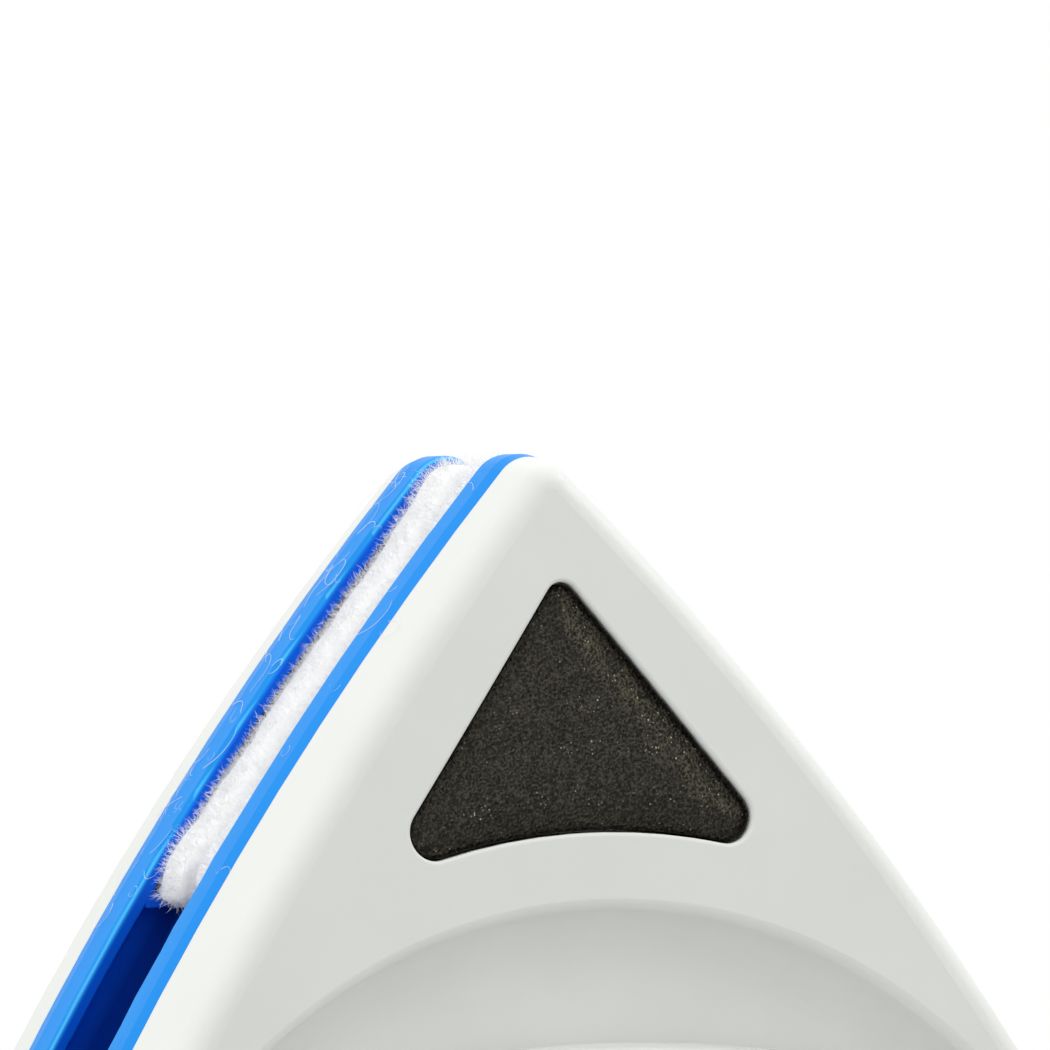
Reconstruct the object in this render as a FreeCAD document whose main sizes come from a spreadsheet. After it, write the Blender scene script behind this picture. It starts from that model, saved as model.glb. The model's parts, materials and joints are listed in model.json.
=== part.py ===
"""Magnetic glass cleaner: two triangular halves that clamp a window pane between them.

Row frame, millimetres: +Z up, Y is the normal of the pane, and the pane lies in the plane Y = 0.
The origin is on the floor under the centre of the cleaner, which stands on a side with a corner up.

Each piece is drawn in its half's own frame and placed once in each half. In that frame z points
away from the pane towards the hand, y points up, the centre of the dish is on the z axis, and
z = 0 is the seam between the white shell and the blue frame. Pieces that come in threes are drawn
for the upper corner and turned by 120 and 240 degrees about z.
"""

import FreeCAD, Part
import math
import os
import re

import Sketcher

PARTS_FOLDER = "parts"
TURNS = {"top": 0, "left": 120, "right": 240}
CORNER_UP_SIDES = 30             # direction of the first side's normal, degrees
CORNER_DOWN_SIDES = 90
OPPOSITE = {"top": "lower", "left": "right", "right": "left"}
Z_AXIS = FreeCAD.Vector(0, 0, 1)
TAKES_AWAY = ("PartDesign::Pocket", "PartDesign::Groove")

# Driving dimensions, millimetres and degrees. Each is an aliased cell of the sheet.
DIMENSIONS = {
    # overall form
    "side_reach": 52.0,          # centre to the middle of a side
    "side_radius": 286.0,        # bow of each side
    "corner_radius": 3.4,
    "seam_depth": 9.1,           # pane to seam
    # white shell
    "wall": 2.0,
    "wall_draft": 12.0,
    "crown_height": 8.8,         # seam to the top of the domed face, on the axis
    "crown_radius": 700.0,
    "shoulder_radius": 2.4,
    "dish_radius": 47.5,
    "dish_lean": 0.8,            # how far the dish wall leans in from rim to floor
    "dish_floor": 3.0,
    "dish_skin": 1.8,
    "dish_fillet": 3.2,
    "rim_round": 0.8,
    "opening_radius": 33.0,
    "boss_radius": 3.0,
    # foam insert and its recess
    "foam_apex": 73.8,           # where its two straight edges would meet
    "foam_half_angle": 38.1,
    "foam_arc": 53.6,
    "foam_tip_radius": 1.3,
    "foam_heel_radius": 2.0,
    "foam_gap": 0.2,
    "foam_sunk": 0.25,           # foam surface below the face
    "recess_floor": 3.0,
    "recess_skin": 1.6,
    "recess_round": 0.3,
    # grip
    "grip_reach": 36.7,
    "grip_side_radius": 115.0,
    "grip_corner_radius": 28.0,
    "grip_height": 12.0,
    "grip_crown_radius": 420.0,
    "grip_draft": 6.0,
    "grip_fillet": 2.4,
    "grip_wall": 2.2,
    "grip_screw_ring": 38.0,
    "grip_boss_radius": 3.4,
    # blue frame
    "rim_height": 4.2,
    "lip_width": 1.4,
    "lip_round": 0.55,
    "lip_inner_round": 0.25,
    "bevel_height": 1.4,         # the rim leans in below the seam
    "bevel_draft": 10.0,
    "inner_corner_radius": 2.2,
    "plate_top": 0.6,            # seam to the plate's hand side
    "plate_bottom": 2.2,         # seam to the plate's pane side
    "cup_radius": 36.0,
    "cup_depth": 7.7,
    "cup_wall": 1.5,
    "pad_line": 50.5,            # lower edge of a corner's pad
    "rib_width": 1.2,
    "rib_half_length": 28.4,
    "rail_reach": 43.0,
    "rail_width": 5.8,
    "rail_length": 60.0,
    "rail_depth": 5.5,
    "bead_depth": 3.0,
    "bead_radius": 1.5,
    "slot_width": 2.0,
    # wiper blade
    "blade_length": 58.0,
    "neck_width": 1.2,
    "tip_width": 0.7,
    "blade_tip": 8.4,
    # wool pad
    "pad_clearance": 0.3,
    "pad_face": 8.95,
    "pad_corner_radius": 2.5,
    "pad_edge_round": 1.6,
    # magnets, tray and yoke
    "magnet_radius": 12.0,
    "magnet_length": 9.5,
    "magnet_ring": 19.0,
    "tray_radius": 34.3,
    "tray_top": 1.1,
    "yoke_radius": 31.5,
    "yoke_thickness": 2.2,
    "yoke_hole": 5.0,
    "seat_gap": 0.05,            # between pieces that rest on each other inside
    # screws
    "screw_ring": 62.0,
    "screw_radius": 1.2,
    "screw_head_radius": 2.4,
    "screw_head_height": 1.4,
    "screw_length": 4.2,
    "grip_screw_radius": 1.4,
    "grip_screw_head_radius": 2.7,
    "grip_screw_head_height": 1.4,
    "grip_screw_length": 7.0,
    "drive_radius": 0.9,
    "drive_depth": 0.7,
    "hole_clearance": 0.1,
    # hole for the safety cord
    "cord_angle": 8.0,           # about the bow centre of the lower side
    "cord_height": 2.3,
    "cord_hole_radius": 1.4,
    "cord_boss_radius": 2.8,
    "cord_boss_depth": 4.25,
    "margin": 4.0,               # how far a cutting shape reaches past what it cuts
}

doc = FreeCAD.newDocument("glass_cleaner")
sheet = doc.addObject("Spreadsheet::Sheet", "Params")
pieces = []

# The seam's outline lies inside the rim's by what the bevel takes off.
SEAM_INSET = "bevel_height * tan(bevel_draft)"


# ---------------------------------------------------------------- sheet and expressions

def fill_sheet():
    for row, (alias, value) in enumerate(DIMENSIONS.items(), start=1):
        sheet.set(f"A{row}", alias)
        sheet.set(f"B{row}", str(value))
        sheet.setAlias(f"B{row}", alias)
    doc.recompute()


def expression(text):
    """The same text with each alias written as a cell of the sheet."""
    return re.sub(r"[a-z_]+", lambda word: "Params." + word[0] if word[0] in DIMENSIONS else word[0], text)


def value(text):
    """The number that an expression on the aliases gives."""
    return float(sheet.evalExpression(expression(text)))


def bind(obj, path, text):
    obj.setExpression(path, expression(text))


def point(x, y):
    return FreeCAD.Vector(x, y, 0)


# ---------------------------------------------------------------- sketches

class Drawing:
    """A sketch on one of its body's origin planes, with geometry held by bound constraints."""

    def __init__(self, body, name, plane="XY_Plane", height=None):
        self.body = body
        self.sketch = body.newObject("Sketcher::SketchObject", name)
        planes = {feature.Role: feature for feature in body.Origin.OriginFeatures}
        self.sketch.AttachmentSupport = [(planes[plane], "")]
        self.sketch.MapMode = "FlatFace"
        if height is not None:
            bind(self.sketch, "AttachmentOffset.Base.z", height)

    def line(self, start, end):
        return self.sketch.addGeometry(Part.LineSegment(start, end), False)

    def arc(self, centre, radius, first, last):
        """A counter-clockwise arc between two directions in degrees."""
        circle = Part.Circle(centre, FreeCAD.Vector(0, 0, 1), radius)
        return self.sketch.addGeometry(
            Part.ArcOfCircle(circle, math.radians(first), math.radians(last)), False)

    def rule(self, kind, *arguments, size=None):
        """Adds a constraint. A size is an expression, and the constraint stays bound to it."""
        if size is None:
            self.sketch.addConstraint(Sketcher.Constraint(kind, *arguments))
            return
        index = self.sketch.addConstraint(Sketcher.Constraint(kind, *arguments, value(size)))
        bind(self.sketch, f"Constraints[{index}]", size)

    def place(self, geometry, end, x, y):
        """Holds one end (1 start, 2 end, 3 centre) of a geometry at bound coordinates."""
        for kind, coordinate, axis in (("DistanceX", x, -2), ("DistanceY", y, -1)):
            if coordinate == "0":
                self.rule("PointOnObject", geometry, end, axis)
            elif coordinate is not None:
                self.rule(kind, -1, 1, geometry, end, size=coordinate)

    def circle(self, radius, x="0", y="0"):
        centre = point(value(x), value(y))
        index = self.sketch.addGeometry(
            Part.Circle(centre, FreeCAD.Vector(0, 0, 1), value(radius)), False)
        self.rule("Radius", index, size=radius)
        self.place(index, 3, x, y)
        return self

    def polygon(self, corners):
        """A closed outline through corners given as pairs of expressions."""
        points = [point(value(x), value(y)) for x, y in corners]
        lines = [self.line(a, b) for a, b in zip(points, points[1:] + points[:1])]
        for this, following in zip(lines, lines[1:] + lines[:1]):
            self.rule("Coincident", this, 2, following, 1)
        for index, (x, y) in zip(lines, corners):
            self.place(index, 1, x, y)
        return self

    def rectangle(self, x_low, x_high, y_low, y_high):
        return self.polygon([(x_low, y_low), (x_high, y_low), (x_high, y_high), (x_low, y_high)])

    def rounded_triangle(self, reach, side, corner, first_side):
        """Three bowed sides joined by round corners, all tangent."""
        away = value(side) - value(reach)
        centre_drop = away * math.sin(math.radians(30))
        centre_aside = away * math.cos(math.radians(30))
        rise = math.sqrt((value(side) - value(corner)) ** 2 - centre_aside ** 2)
        half_sweep = math.degrees(math.atan2(rise, centre_aside)) - 30
        corner_distance = rise - centre_drop
        arcs = []
        for normal in (first_side, first_side + 120, first_side + 240):
            direction = math.radians(normal)
            centre = point(-away * math.cos(direction), -away * math.sin(direction))
            arcs.append(self.arc(centre, value(side), normal - half_sweep, normal + half_sweep))
            self.rule("Radius", arcs[-1], size=side)
            inward = f"({reach} - ({side}))"
            self.place(arcs[-1], 3, "0" if normal % 180 == 90 else f"{inward} * cos({normal})",
                       f"{inward} * sin({normal})")
            towards = math.radians(normal + 60)
            centre = point(corner_distance * math.cos(towards), corner_distance * math.sin(towards))
            arcs.append(self.arc(centre, value(corner), normal + half_sweep, normal + 120 - half_sweep))
            self.rule("Radius", arcs[-1], size=corner)
        for this, following in zip(arcs, arcs[1:] + arcs[:1]):
            self.rule("Tangent", this, 2, following, 1)
        return self

    def under_dome(self, top, radius, reach, ceiling):
        """The region above a domed face, to be turned about the axis and cut away."""
        centre = value(top) - value(radius)
        edge = math.degrees(math.acos(value(reach) / value(radius)))
        outer = value(reach)
        edge_height = centre + value(radius) * math.sin(math.radians(edge))
        dome = self.arc(point(0, centre), value(radius), edge, 90)
        riser = self.line(point(outer, edge_height), point(outer, value(ceiling)))
        lid = self.line(point(outer, value(ceiling)), point(0, value(ceiling)))
        axis = self.line(point(0, value(ceiling)), point(0, value(top)))
        self.rule("Coincident", dome, 1, riser, 1)
        self.rule("Coincident", riser, 2, lid, 1)
        self.rule("Coincident", lid, 2, axis, 1)
        self.rule("Coincident", axis, 2, dome, 2)
        self.rule("Radius", dome, size=radius)
        self.place(dome, 3, "0", f"{top} - ({radius})")
        self.rule("Vertical", riser)
        self.rule("Vertical", axis)
        self.place(lid, 1, reach, ceiling)
        self.rule("Horizontal", lid)
        return self

    def foam_outline(self, gap):
        """Two straight edges, a round tip and heels, and a lower edge that follows the dish."""
        half = value("foam_half_angle")
        tip, heel, arc = (value(f"foam_tip_radius + {gap}"), value(f"foam_heel_radius + {gap}"),
                          value(f"foam_arc - {gap}"))
        tip_centre = f"foam_apex - foam_tip_radius / sin(foam_half_angle)"
        along = point(math.sin(math.radians(half)), -math.cos(math.radians(half)))
        outward = point(math.cos(math.radians(half)), math.sin(math.radians(half)))
        top = point(0, value(tip_centre))
        edge_start = top + outward * tip
        # The heel's centre lies on a line parallel to the edge, at arc + heel from the origin.
        base = top + outward * (tip - heel)
        forward = base.dot(along)
        run = -forward - math.sqrt(forward ** 2 - base.dot(base) + (arc + heel) ** 2)
        heel_centre = base + along * run
        heel_direction = math.degrees(math.atan2(heel_centre.y, heel_centre.x))
        edge_end = heel_centre + outward * heel

        def mirrored(vector):
            return point(-vector.x, vector.y)

        tip_arc = self.arc(top, tip, half, 180 - half)
        left_edge = self.line(mirrored(edge_start), mirrored(edge_end))
        left_heel = self.arc(mirrored(heel_centre), heel, 180 - half, 360 - heel_direction)
        low_arc = self.arc(point(0, 0), arc, heel_direction, 180 - heel_direction)
        right_heel = self.arc(heel_centre, heel, heel_direction - 180, half)
        right_edge = self.line(edge_end, edge_start)
        self.rule("Tangent", tip_arc, 2, left_edge, 1)
        self.rule("Tangent", left_edge, 2, left_heel, 1)
        self.rule("Tangent", left_heel, 2, low_arc, 2)
        self.rule("Tangent", low_arc, 1, right_heel, 1)
        self.rule("Tangent", right_heel, 2, right_edge, 1)
        self.rule("Tangent", right_edge, 2, tip_arc, 1)
        self.rule("Radius", tip_arc, size=f"foam_tip_radius + {gap}")
        self.rule("Radius", left_heel, size=f"foam_heel_radius + {gap}")
        self.rule("Radius", right_heel, size=f"foam_heel_radius + {gap}")
        self.rule("Radius", low_arc, size=f"foam_arc - {gap}")
        self.place(low_arc, 3, "0", "0")
        self.place(tip_arc, 3, "0", tip_centre)
        self.rule("Angle", left_edge, size="270 - foam_half_angle")
        self.rule("Angle", right_edge, size="90 + foam_half_angle")
        return self

    def pad_outline(self, inset):
        """The upper corner of the frame's pocket, closed by a straight lower edge."""
        reach, side = f"side_reach - {inset}", f"side_radius - {inset}"
        away = value(side) - value(reach)
        drop, aside = away * math.sin(math.radians(30)), away * math.cos(math.radians(30))
        corner = value("pad_corner_radius")
        rise = math.sqrt((value(side) - corner) ** 2 - aside ** 2)
        corner_direction = math.degrees(math.atan2(rise, aside))
        low = value("pad_line")
        low_direction = math.degrees(math.asin((low + drop) / value(side)))
        half_width = value(side) * math.cos(math.radians(low_direction)) - aside
        right = self.arc(point(-aside, -drop), value(side), low_direction, corner_direction)
        tip = self.arc(point(0, rise - drop), corner, corner_direction, 180 - corner_direction)
        left = self.arc(point(aside, -drop), value(side), 180 - corner_direction, 180 - low_direction)
        base = self.line(point(-half_width, low), point(half_width, low))
        self.rule("Tangent", right, 2, tip, 1)
        self.rule("Tangent", tip, 2, left, 1)
        self.rule("Coincident", left, 2, base, 1)
        self.rule("Coincident", base, 2, right, 1)
        self.rule("Radius", right, size=side)
        self.rule("Radius", left, size=side)
        self.rule("Radius", tip, size="pad_corner_radius")
        self.place(right, 3, f"({reach} - ({side})) * cos(30)", f"({reach} - ({side})) * sin(30)")
        self.place(left, 3, f"({side} - ({reach})) * cos(30)", f"({reach} - ({side})) * sin(30)")
        self.rule("Horizontal", base)
        self.place(base, 1, None, "pad_line")
        return self

    # ------------------------------------------------------------ features on the sketch

    def feature(self, kind, name):
        made = self.body.newObject(f"PartDesign::{kind}", name)
        made.Profile = self.sketch
        return made

    def pad(self, name, length, draft=None, down=False, both_ways=False):
        made = self.feature("Pad", name)
        bind(made, "Length", length)
        made.Reversed = down
        made.SideType = "Symmetric" if both_ways else "One side"
        if draft:
            bind(made, "TaperAngle", f"-{draft}")
        return made

    def pocket(self, name, length, up=False, both_ways=False):
        """Cuts against the sketch's normal, or along it where up is set."""
        made = self.feature("Pocket", name)
        bind(made, "Length", length)
        made.Reversed = up
        made.SideType = "Symmetric" if both_ways else "One side"
        return made

    def groove(self, name):
        made = self.feature("Groove", name)
        made.ReferenceAxis = (self.sketch, ["V_Axis"])
        return made

    def revolution(self, name):
        made = self.feature("Revolution", name)
        made.ReferenceAxis = (self.sketch, ["V_Axis"])
        return made


def new_body(name):
    return doc.addObject("PartDesign::Body", name)


def in_threes(body, *features):
    """Repeats features at the three corners."""
    pattern = body.newObject("PartDesign::PolarPattern", body.Name + "_threes")
    pattern.Originals = list(features)
    axes = {feature.Role: feature for feature in body.Origin.OriginFeatures}
    pattern.Axis = (axes["Z_Axis"], [""])
    pattern.Angle = 360
    pattern.Occurrences = len(TURNS)
    body.Tip = pattern
    return pattern


def fillet(body, name, radius, chosen):
    """Rounds the edges of the body's tip that the test picks."""
    doc.recompute()
    base = body.Tip
    names = [f"Edge{i}" for i, edge in enumerate(base.Shape.Edges, start=1) if chosen(edge)]
    if not names:
        raise RuntimeError(f"{name}: no edge to round")
    made = body.newObject("PartDesign::Fillet", name)
    made.Base = (base, names)
    bind(made, "Radius", radius)
    return made


def finish_piece(obj, label, half, turn=0):
    """Labels a piece and sets it in its half, turned about the axis of the dish."""
    obj.Label = label
    facing = 0 if half == "front" else 180
    standing = FreeCAD.Rotation(FreeCAD.Vector(1, 0, 0), 90)
    about = FreeCAD.Rotation(FreeCAD.Vector(0, 0, 1), facing)
    turned = FreeCAD.Rotation(FreeCAD.Vector(0, 0, 1), turn)
    obj.Placement = FreeCAD.Placement(FreeCAD.Vector(0, 0, 0), about * standing * turned)
    bind(obj, "Placement.Base.y", "-seam_depth" if half == "front" else "seam_depth")
    bind(obj, "Placement.Base.z", "side_reach")
    pieces.append(obj)


# ---------------------------------------------------------------- white shell

def on_ring(low, high, height_low, height_high):
    """A test for edges whose every point is at such a distance from the axis and such a height."""
    def chosen(edge):
        middle = edge.valueAt((edge.FirstParameter + edge.LastParameter) / 2)
        spots = [vertex.Point for vertex in edge.Vertexes] + [middle]
        return all(low < math.hypot(s.x, s.y) < high and height_low < s.z < height_high for s in spots)
    return chosen


def shell_outside(half):
    """The shell as a solid block, with the dish, foam recesses and openings cut in."""
    body = new_body(f"{half}_shell_outside")
    outline = Drawing(body, f"{half}_shell_outline")
    outline.rounded_triangle(f"side_reach - {SEAM_INSET}", f"side_radius - {SEAM_INSET}",
                             f"corner_radius - {SEAM_INSET}", CORNER_UP_SIDES)
    outline.pad(f"{half}_shell_block", "crown_height", draft="wall_draft")
    crown = Drawing(body, f"{half}_crown_profile", "XZ_Plane")
    crown.under_dome("crown_height", "crown_radius", "2 * side_reach", "crown_height + margin")
    crown.groove(f"{half}_crown")
    rim_radius = value("side_reach - margin")
    low_edge = value("shoulder_radius") / 2
    fillet(body, f"{half}_shoulder", "shoulder_radius",
           lambda edge: on_ring(rim_radius, 2 * rim_radius, low_edge, value("crown_height"))(edge)
           and any(face.Surface.TypeId == "Part::GeomSphere" for face in faces_at(body.Tip.Shape, edge)))
    dish = Drawing(body, f"{half}_dish_profile", "XZ_Plane")
    dish.polygon([("0", "dish_floor"), ("dish_radius - dish_lean", "dish_floor"),
                  ("dish_radius", "crown_height - dish_radius ^ 2 / (2 * crown_radius)"),
                  ("dish_radius", "crown_height + margin"), ("0", "crown_height + margin")])
    dish.groove(f"{half}_dish")
    wall_foot = value("dish_radius - dish_lean")
    floor = value("dish_floor")
    fillet(body, f"{half}_dish_foot", "dish_fillet",
           on_ring(wall_foot - 0.1, wall_foot + 0.1, floor - 0.1, floor + 0.1))
    rim = value("dish_radius")
    fillet(body, f"{half}_dish_rim", "rim_round", on_ring(rim - 0.1, rim + 0.1, floor + 1, floor + 9))
    opening = Drawing(body, f"{half}_opening_circle", height="dish_floor + margin").circle("opening_radius")
    opening.pocket(f"{half}_opening", "dish_floor + 2 * margin")
    recess = Drawing(body, f"{half}_recess_outline", height="crown_height + margin").foam_outline("foam_gap")
    recess_cut = recess.pocket(f"{half}_recess", "crown_height + margin - recess_floor")
    boss = Drawing(body, f"{half}_boss_circle", height="-plate_top").circle("boss_radius", y="screw_ring")
    boss_pad = boss.pad(f"{half}_boss", "plate_top + recess_floor - recess_skin")
    pilot = Drawing(body, f"{half}_pilot_circle", height="-plate_top")
    pilot.circle("screw_radius + hole_clearance", y="screw_ring")
    pilot_cut = pilot.pocket(f"{half}_pilot", "screw_length - (plate_bottom - plate_top) + hole_clearance",
                             up=True)
    grip_hole = Drawing(body, f"{half}_grip_hole_circle", height="dish_floor + margin")
    grip_hole.circle("grip_screw_radius + hole_clearance", y="-grip_screw_ring")
    grip_cut = grip_hole.pocket(f"{half}_grip_hole", "dish_floor + 2 * margin")
    in_threes(body, recess_cut, boss_pad, pilot_cut, grip_cut)
    near, far = value("dish_radius + margin"), value("foam_apex + 1")
    fillet(body, f"{half}_recess_lip", "recess_round",
           lambda edge: on_ring(near, far, floor + 0.5, value("crown_height"))(edge)
           and any(face.Surface.TypeId == "Part::GeomSphere" for face in faces_at(body.Tip.Shape, edge)))
    return body


def faces_at(shape, edge):
    """The faces that meet along an edge."""
    return [face for face in shape.Faces if any(other.isSame(edge) for other in face.Edges)]


def round_lip(body, name, radius, outer):
    """Rounds the outer or the inner edge of the rim's land, the flat ring nearest the pane."""
    doc.recompute()
    height = -value("rim_height")
    land = next(face for face in body.Tip.Shape.Faces
                if all(abs(vertex.Point.z - height) < 0.01 for vertex in face.Vertexes))

    def chosen(edge):
        on_outside = any(edge.isSame(other) for other in land.OuterWire.Edges)
        return on_outside == outer and any(edge.isSame(other) for other in land.Edges)

    fillet(body, name, radius, chosen)


def shell_hollow(half):
    """The air inside the shell: it keeps clear of the dish, the recesses and the screw bosses."""
    body = new_body(f"{half}_shell_hollow")
    inside = Drawing(body, f"{half}_hollow_outline")
    inside.rounded_triangle("side_reach - wall", "side_radius - wall", "inner_corner_radius",
                            CORNER_UP_SIDES)
    inside.pad(f"{half}_hollow_block", "crown_height - wall", draft="wall_draft")
    ceiling = Drawing(body, f"{half}_ceiling_profile", "XZ_Plane")
    ceiling.under_dome("crown_height - wall", "crown_radius - wall", "2 * side_reach",
                       "crown_height + margin")
    ceiling.groove(f"{half}_ceiling")
    bowl = Drawing(body, f"{half}_bowl_profile", "XZ_Plane")
    bowl.rectangle("0", "dish_radius + dish_skin", "dish_floor - dish_skin", "crown_height + margin")
    bowl.groove(f"{half}_bowl")
    pan = Drawing(body, f"{half}_pan_outline", height="crown_height + margin")
    pan.foam_outline("(foam_gap + recess_skin)")
    pan_cut = pan.pocket(f"{half}_pan", "crown_height + margin - recess_floor + recess_skin")
    post = Drawing(body, f"{half}_post_circle", height="crown_height").circle("boss_radius", y="screw_ring")
    post_cut = post.pocket(f"{half}_post", "crown_height + margin")
    in_threes(body, pan_cut, post_cut)
    return body


def cord_cylinder(name, radius, inner, outer):
    """A cylinder square to the lower side, between two radii about that side's bow centre."""
    made = doc.addObject("Part::Cylinder", name)
    bind(made, "Radius", radius)
    bind(made, "Height", f"{outer} - ({inner})")
    angle = math.radians(value("cord_angle"))
    outward = FreeCAD.Vector(math.sin(angle), -math.cos(angle), 0)
    bow_centre = FreeCAD.Vector(0, value("side_radius - side_reach"), value("cord_height"))
    made.Placement = FreeCAD.Placement(bow_centre + outward * value(inner),
                                       FreeCAD.Rotation(FreeCAD.Vector(0, 0, 1), outward))
    return made


def cut(name, base, tool):
    made = doc.addObject("Part::Cut", name)
    made.Base = base
    made.Tool = tool
    return made


def shell(half):
    outside = shell_outside(half)
    boss = cord_cylinder(f"{half}_cord_boss", "cord_boss_radius", "side_radius - cord_boss_depth",
                         "side_radius + margin")
    hollow = cut(f"{half}_hollow", shell_hollow(half), boss)
    hole = cord_cylinder(f"{half}_cord_hole", "cord_hole_radius", "side_radius - 2 * margin",
                         "side_radius + margin")
    open_shell = cut(f"{half}_open_shell", outside, hollow)
    finish_piece(cut(f"{half}_shell_cut", open_shell, hole), f"{half}_shell", half)


# ---------------------------------------------------------------- grip

def grip(half):
    body = new_body(f"{half}_grip_block")
    outline = Drawing(body, f"{half}_grip_outline", height="dish_floor")
    outline.rounded_triangle("grip_reach", "grip_side_radius", "grip_corner_radius", CORNER_DOWN_SIDES)
    outline.pad(f"{half}_grip_solid", "grip_height - dish_floor", draft="grip_draft")
    crown = Drawing(body, f"{half}_grip_crown_profile", "XZ_Plane")
    crown.under_dome("grip_height", "grip_crown_radius", "side_reach", "grip_height + margin")
    crown.groove(f"{half}_grip_crown")
    edge_low = value("grip_height - grip_fillet")
    fillet(body, f"{half}_grip_shoulder", "grip_fillet",
           on_ring(value("opening_radius"), value("dish_radius"), edge_low, value("grip_height")))

    hollow = new_body(f"{half}_grip_hollow")
    inside = Drawing(hollow, f"{half}_grip_inside", height="dish_floor - margin")
    inside.rounded_triangle("grip_reach - grip_wall", "grip_side_radius - grip_wall",
                            "grip_corner_radius - grip_wall", CORNER_DOWN_SIDES)
    inside.pad(f"{half}_grip_air", "grip_height - grip_wall - dish_floor + margin", draft="grip_draft")
    ceiling = Drawing(hollow, f"{half}_grip_ceiling_profile", "XZ_Plane")
    ceiling.under_dome("grip_height - grip_wall", "grip_crown_radius - grip_wall", "side_reach",
                       "grip_height + margin")
    ceiling.groove(f"{half}_grip_ceiling")
    post = Drawing(hollow, f"{half}_grip_post_circle", height="grip_height")
    post.circle("grip_boss_radius", y="-grip_screw_ring")
    in_threes(hollow, post.pocket(f"{half}_grip_post", "grip_height + 2 * margin"))

    pilots = new_body(f"{half}_grip_pilots")
    pilot = Drawing(pilots, f"{half}_grip_pilot_circle", height="dish_floor - margin")
    pilot.circle("grip_screw_radius + hole_clearance", y="-grip_screw_ring")
    in_threes(pilots, pilot.pad(f"{half}_grip_pilot",
                                "grip_screw_length - dish_skin + hole_clearance + margin"))
    open_grip = cut(f"{half}_open_grip", body, hollow)
    finish_piece(cut(f"{half}_grip_cut", open_grip, pilots), f"{half}_grip", half)


# ---------------------------------------------------------------- blue frame

def frame(half):
    """The rim that the shell sits on, the plate across it, the magnet cup and three blade rails."""
    body = new_body(f"{half}_frame_body")
    outline = Drawing(body, f"{half}_frame_outline", height="-bevel_height")
    outline.rounded_triangle("side_reach", "side_radius", "corner_radius", CORNER_UP_SIDES)
    outline.pad(f"{half}_frame_block", "rim_height - bevel_height", down=True)
    bevel = Drawing(body, f"{half}_bevel_outline", height="-bevel_height")
    bevel.rounded_triangle("side_reach", "side_radius", "corner_radius", CORNER_UP_SIDES)
    bevel.pad(f"{half}_bevel", "bevel_height", draft="bevel_draft")
    tray = Drawing(body, f"{half}_pad_side_outline", height="-plate_bottom")
    tray.rounded_triangle("side_reach - lip_width", "side_radius - lip_width", "inner_corner_radius",
                          CORNER_UP_SIDES)
    tray.pocket(f"{half}_pad_side", "rim_height - plate_bottom + margin")
    round_lip(body, f"{half}_lip_outer", "lip_round", True)
    round_lip(body, f"{half}_lip_inner", "lip_inner_round", False)
    seat = Drawing(body, f"{half}_shell_side_outline", height="-plate_top")
    seat.rounded_triangle("side_reach - wall - hole_clearance", "side_radius - wall - hole_clearance",
                          "inner_corner_radius", CORNER_UP_SIDES)
    seat.pocket(f"{half}_shell_side", "plate_top + margin", up=True)
    rib = Drawing(body, f"{half}_rib_outline", height="-plate_bottom")
    rib.rectangle("-rib_half_length", "rib_half_length", "pad_line - rib_width - pad_clearance",
                  "pad_line - pad_clearance")
    rib_pad = rib.pad(f"{half}_rib", "rim_height - plate_bottom", down=True)
    rail = Drawing(body, f"{half}_rail_outline", height="-plate_bottom")
    rail.rectangle("-rail_length / 2", "rail_length / 2", "-rail_reach - rail_width / 2",
                   "-rail_reach + rail_width / 2")
    rail_pad = rail.pad(f"{half}_rail", "rail_depth - plate_bottom", down=True)
    bead = Drawing(body, f"{half}_bead_circle", "YZ_Plane")
    bead.circle("bead_radius", "-rail_reach", "-bead_depth")
    bead_cut = bead.pocket(f"{half}_bead_groove", "rail_length + margin", both_ways=True)
    slot = Drawing(body, f"{half}_slot_outline", "YZ_Plane")
    slot.rectangle("-rail_reach - slot_width / 2", "-rail_reach + slot_width / 2",
                   "-rail_depth - margin", "-bead_depth")
    slot_cut = slot.pocket(f"{half}_slot", "rail_length + margin", both_ways=True)
    hole = Drawing(body, f"{half}_frame_hole_circle", height="margin")
    hole.circle("screw_radius + hole_clearance", y="screw_ring")
    hole_cut = hole.pocket(f"{half}_frame_hole", "2 * margin")
    in_threes(body, rib_pad, rail_pad, bead_cut, slot_cut, hole_cut)
    cup = Drawing(body, f"{half}_cup_circle", height="-plate_top").circle("cup_radius")
    cup.pad(f"{half}_cup", "cup_depth - plate_top", down=True)
    well = Drawing(body, f"{half}_well_circle", height="margin").circle("cup_radius - cup_wall")
    well.pocket(f"{half}_well", "cup_depth - cup_wall + margin")
    finish_piece(body, f"{half}_frame", half)


def wiper_blade(half, corner, turn):
    """A rubber blade whose bead slides into the rail of the side opposite the named corner."""
    body = new_body(f"{half}_{corner}_blade_body")
    bead = Drawing(body, f"{half}_{corner}_blade_bead", "YZ_Plane")
    bead.circle("bead_radius - seat_gap", "-rail_reach", "-bead_depth")
    bead.pad(f"{half}_{corner}_bead", "blade_length", both_ways=True)
    web = Drawing(body, f"{half}_{corner}_blade_web", "YZ_Plane")
    web.polygon([("-rail_reach - neck_width / 2", "-bead_depth"),
                 ("-rail_reach - tip_width / 2", "-blade_tip"),
                 ("-rail_reach + tip_width / 2", "-blade_tip"),
                 ("-rail_reach + neck_width / 2", "-bead_depth")])
    web.pad(f"{half}_{corner}_web", "blade_length", both_ways=True)
    finish_piece(body, f"{half}_blade_{OPPOSITE[corner]}", half, turn)


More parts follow.
